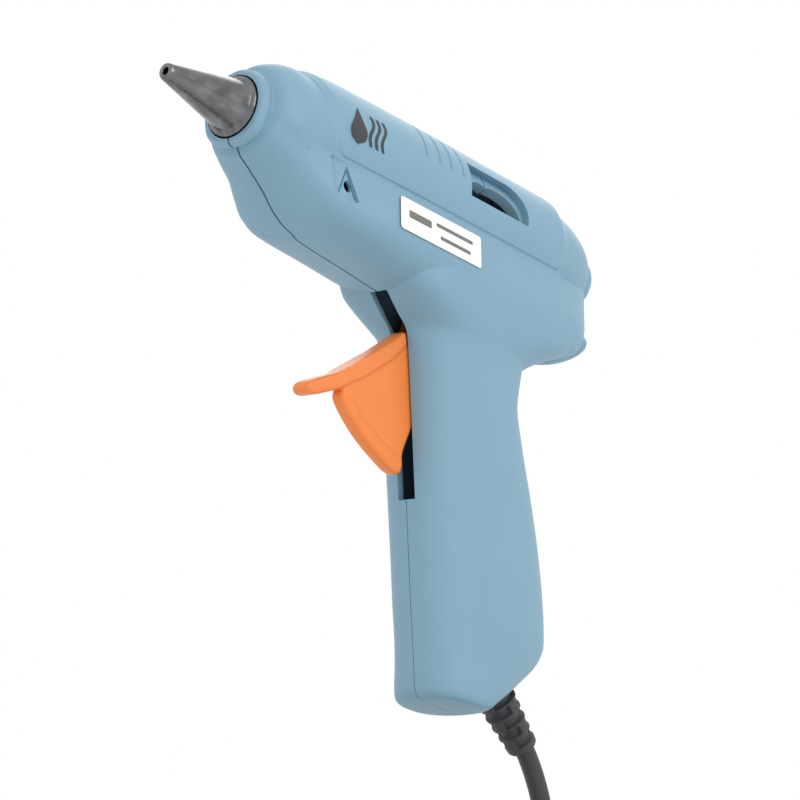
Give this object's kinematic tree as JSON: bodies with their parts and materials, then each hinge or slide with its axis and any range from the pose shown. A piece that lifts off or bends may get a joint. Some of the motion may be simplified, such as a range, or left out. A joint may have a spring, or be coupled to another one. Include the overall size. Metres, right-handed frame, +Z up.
{
  "type": "hot glue gun",
  "caption": "Corded hot glue gun with a light blue two-part casing, orange trigger, metal nozzle, stick window and a coiled mains lead.",
  "frame": {"origin": "middle of the hand grip, halfway through its depth and on the casing's seam plane", "axes": "+X forward to the nozzle side, +Y to the gun's left, +Z up along the grip; the barrel is pitched 14 degrees up from +X"},
  "size_m": [0.1646, 0.0921, 0.2371],
  "materials": {
    "casing_blue": "light blue moulded plastic, satin",
    "trigger_orange": "orange moulded plastic, slight gloss",
    "nozzle_zinc": "die cast zinc, mottled",
    "cast_metal": "cast aluminium",
    "steel": "zinc plated steel",
    "pin_metal": "nickel plated brass",
    "brass": "brass strip",
    "ceramic": "fired ceramic",
    "phenolic": "brown phenolic board",
    "silicone": "off-white silicone rubber",
    "black_nylon": "black nylon",
    "black_rubber": "black PVC sheath",
    "wire_brown": "brown silicone insulation",
    "wire_blue": "blue silicone insulation",
    "label_white": "printed film"
  },
  "bodies": {
    "casing": {"left_shell": "casing_blue", "right_shell": "casing_blue", "housing_screw_1": "steel", "housing_screw_2": "steel", "housing_screw_3": "steel", "housing_screw_4": "steel", "housing_screw_5": "steel", "label": "label_white", "nozzle": "nozzle_zinc", "melt_chamber": "cast_metal", "ptc_heater": "ceramic", "electrode_upper": "brass", "electrode_lower": "brass", "heater_clip": "steel", "front_bracket": "phenolic", "rear_bracket": "phenolic", "inlet_sleeve": "silicone", "sleeve_clip": "steel", "ball_spring": "steel", "trigger_pivot_pin": "steel", "return_spring": "steel", "strain_relief": "black_rubber", "cord_clamp": "black_nylon", "clamp_screw_1": "steel", "clamp_screw_2": "steel", "live_wire": "wire_brown", "neutral_wire": "wire_blue", "mains_cord": "black_rubber", "cord_coil": "black_rubber", "coil_tie": "black_nylon", "plug_body": "black_rubber", "plug_pin_left": "pin_metal", "plug_pin_right": "pin_metal"},
    "trigger": {"trigger": "trigger_orange"},
    "carriage": {"feed_carriage": "trigger_orange"},
    "jaw": {"grip_jaw": "steel"},
    "valve_ball": {"nozzle_ball": "steel"}
  },
  "joints": [
    {"name": "trigger_pull", "type": "hinge", "parent": "casing", "child": "trigger", "pos_m": [0.00915, 0, 0.04557], "axis": [0, 1, 0], "range_deg": [0, 22], "stiffness_Nm_per_rad": 0.15, "springref_deg": -17.19, "deforming": ["return_spring"]},
    {"name": "carriage_slide", "type": "slide", "parent": "casing", "child": "carriage", "axis": [0.9703, 0, 0.2419], "range_m": [0, 0.0148]},
    {"name": "jaw_tip", "type": "hinge", "parent": "carriage", "child": "jaw", "pos_m": [-0.00642, 0, 0.0725], "axis": [0, -1, 0], "range_deg": [0, 5]},
    {"name": "valve_lift", "type": "slide", "parent": "casing", "child": "valve_ball", "axis": [0.9703, 0, 0.2419], "range_m": [0, 0.0014], "stiffness_N_per_m": 60, "springref_m": -0.001}
  ],
  "couplings": [
    {"joint": "carriage_slide", "follows": "trigger_pull", "m_per_rad": 0.03848}
  ]
}
